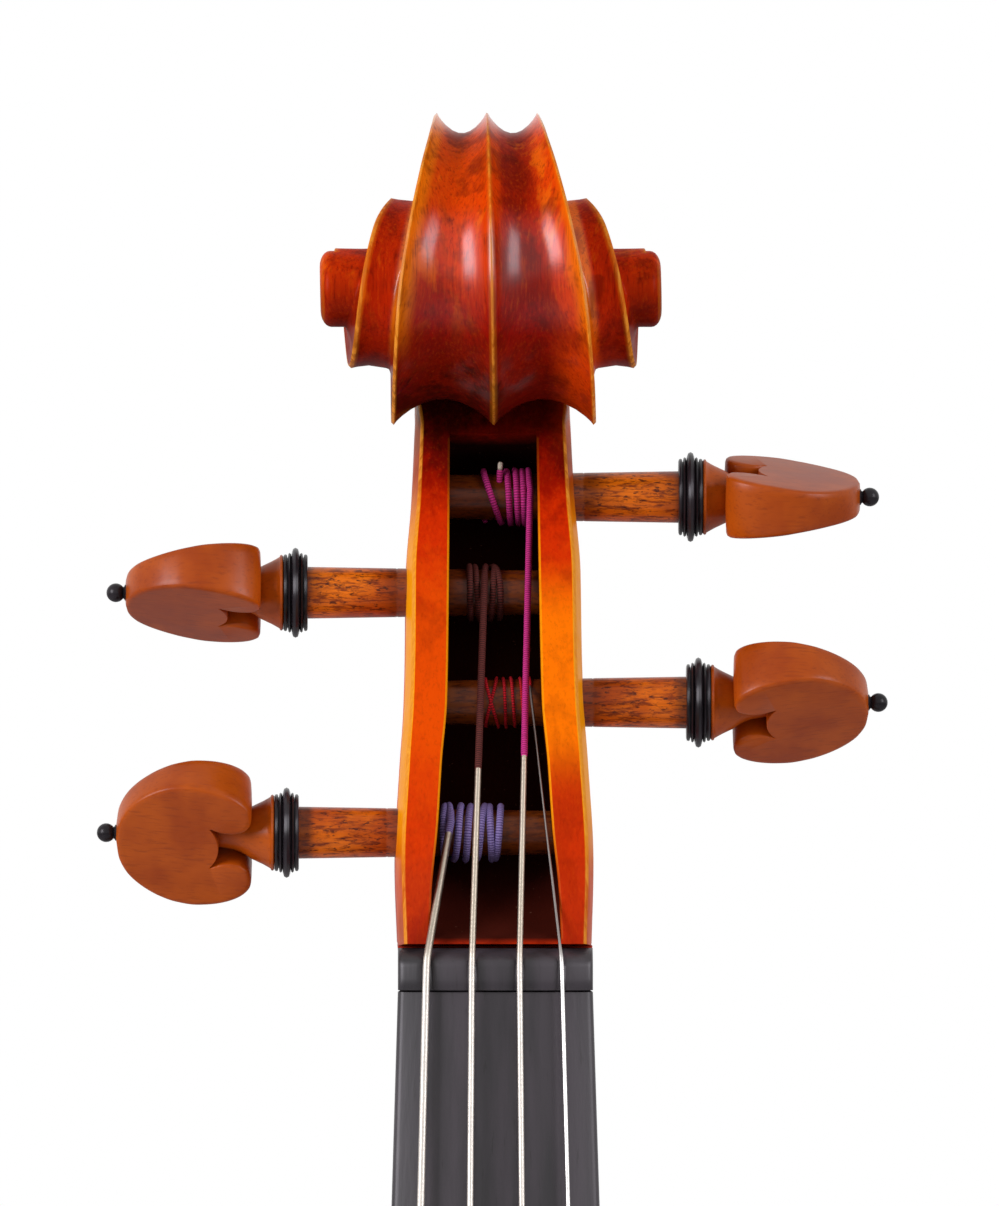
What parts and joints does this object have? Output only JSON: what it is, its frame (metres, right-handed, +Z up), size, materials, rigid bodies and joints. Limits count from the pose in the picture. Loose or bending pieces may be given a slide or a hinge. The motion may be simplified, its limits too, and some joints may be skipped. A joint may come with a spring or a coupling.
{
  "type": "viola",
  "caption": "Bowed string instrument with a carved scroll, friction pegs, a neck with a fingerboard and a hollow arched body.",
  "frame": {"origin": "on the centre plane, under the two ears of the scroll, where a hanger carries the instrument", "axes": "+Z up towards the scroll, -Y the front with the strings, +X the treble side, on the viewer's right"},
  "size_m": [0.24, 0.1081, 0.6812],
  "materials": {
    "varnished_maple": "glossy orange-red oil varnish over plain maple",
    "varnished_spruce": "glossy orange-red oil varnish over straight-grained spruce",
    "plain_spruce": "bare spruce",
    "ebony": "satin, rubbed with oil",
    "boxwood": "satin, stained warm brown",
    "plain_maple": "bare, smooth",
    "string_silver": "fine wire winding, bright",
    "plated_steel": "bright plating",
    "cork": "bare cork",
    "black_nylon": "smooth cord",
    "silk_lavender": "silk thread",
    "silk_brown": "silk thread",
    "silk_magenta": "silk thread",
    "silk_red": "silk thread"
  },
  "bodies": {
    "instrument": {"back_linings": "plain_spruce", "back_plate": "varnished_maple", "bass_bar": "plain_spruce", "bridge": "plain_maple", "chinrest_clamp": "ebony", "chinrest_cup": "ebony", "chinrest_top_cork": "cork", "end_button": "ebony", "fingerboard": "ebony", "lower_block": "plain_spruce", "lower_corner_block_bass": "plain_spruce", "lower_corner_block_treble": "plain_spruce", "lower_rib_bass": "varnished_maple", "lower_rib_treble": "varnished_maple", "neck_and_scroll": "varnished_maple", "nut": "ebony", "saddle": "ebony", "sound_post": "plain_spruce", "string_a": "string_silver", "string_c": "string_silver", "string_d": "string_silver", "string_g": "string_silver", "tail_gut": "black_nylon", "tailpiece": "ebony", "tailpiece_fret": "ebony", "top_linings": "plain_spruce", "top_plate": "varnished_spruce", "tuner_body": "plated_steel", "upper_block": "plain_spruce", "upper_corner_block_bass": "plain_spruce", "upper_corner_block_treble": "plain_spruce", "upper_rib_bass": "varnished_maple", "upper_rib_treble": "varnished_maple", "waist_rib_bass": "varnished_maple", "waist_rib_treble": "varnished_maple"},
    "c_peg_set": {"peg_c": "boxwood", "peg_collar_c": "ebony", "peg_pip_c": "ebony", "winding_c": "silk_lavender"},
    "g_peg_set": {"peg_g": "boxwood", "peg_collar_g": "ebony", "peg_pip_g": "ebony", "winding_g": "silk_brown"},
    "d_peg_set": {"peg_d": "boxwood", "peg_collar_d": "ebony", "peg_pip_d": "ebony", "winding_d": "silk_magenta"},
    "a_peg_set": {"peg_a": "boxwood", "peg_collar_a": "ebony", "peg_pip_a": "ebony", "winding_a": "silk_red"},
    "tuner_screw": {"tuner_shank": "plated_steel"},
    "tuner_knob_part": {"tuner_knob": "plated_steel"},
    "tuner_arm": {"tuner_lever": "plated_steel"},
    "clamp_foot": {"chinrest_foot": "plated_steel", "chinrest_foot_cork": "cork"},
    "clamp_barrel_1": {"chinrest_barrel_1": "plated_steel"},
    "clamp_barrel_2": {"chinrest_barrel_2": "plated_steel"}
  },
  "joints": [
    {"name": "peg_c_turn", "type": "hinge", "parent": "instrument", "child": "c_peg_set", "pos_m": [0, -0.01453, -0.0606], "axis": [-1, 0, 0], "continuous": true, "deforming": ["string_c"]},
    {"name": "peg_g_turn", "type": "hinge", "parent": "instrument", "child": "g_peg_set", "pos_m": [0, 0.00069, -0.0292], "axis": [-1, 0, 0], "continuous": true, "deforming": ["string_g"]},
    {"name": "peg_d_turn", "type": "hinge", "parent": "instrument", "child": "d_peg_set", "pos_m": [0, 0.00841, -0.0166], "axis": [1, 0, 0], "continuous": true, "deforming": ["string_d"]},
    {"name": "peg_a_turn", "type": "hinge", "parent": "instrument", "child": "a_peg_set", "pos_m": [0, -0.0069, -0.0436], "axis": [1, 0, 0], "continuous": true, "deforming": ["string_a"]},
    {"name": "tuner_screw_turn", "type": "hinge", "parent": "tuner_screw", "child": "tuner_knob_part", "pos_m": [0.01116, -0.0726, -0.51106], "axis": [0, 1, 0], "range_deg": [0, 1080]},
    {"name": "tuner_screw_travel", "type": "slide", "parent": "instrument", "child": "tuner_screw", "axis": [0, 1, 0], "range_m": [0, 0.0015]},
    {"name": "tuner_arm_swing", "type": "hinge", "parent": "instrument", "child": "tuner_arm", "pos_m": [0.01116, -0.06042, -0.49577], "axis": [1, 0, 0], "range_deg": [0, 6]},
    {"name": "clamp_barrel_1_turn", "type": "hinge", "parent": "instrument", "child": "clamp_barrel_1", "pos_m": [-0.04343, -0.0116, -0.63603], "axis": [0, 1, 0], "range_deg": [0, 1080]},
    {"name": "clamp_barrel_2_turn", "type": "hinge", "parent": "instrument", "child": "clamp_barrel_2", "pos_m": [-0.06167, -0.0116, -0.63044], "axis": [0, 1, 0], "range_deg": [0, 1080]},
    {"name": "clamp_foot_travel", "type": "slide", "parent": "instrument", "child": "clamp_foot", "axis": [0, 1, 0], "range_m": [0, 0.0042]}
  ],
  "couplings": [
    {"joint": "tuner_screw_turn", "follows": "tuner_screw_travel", "rad_per_m": 12566},
    {"joint": "tuner_arm_swing", "follows": "tuner_screw_travel", "rad_per_m": 65.36},
    {"joint": "clamp_barrel_1_turn", "follows": "clamp_foot_travel", "rad_per_m": 4487.9},
    {"joint": "clamp_barrel_2_turn", "follows": "clamp_foot_travel", "rad_per_m": 4487.9}
  ]
}
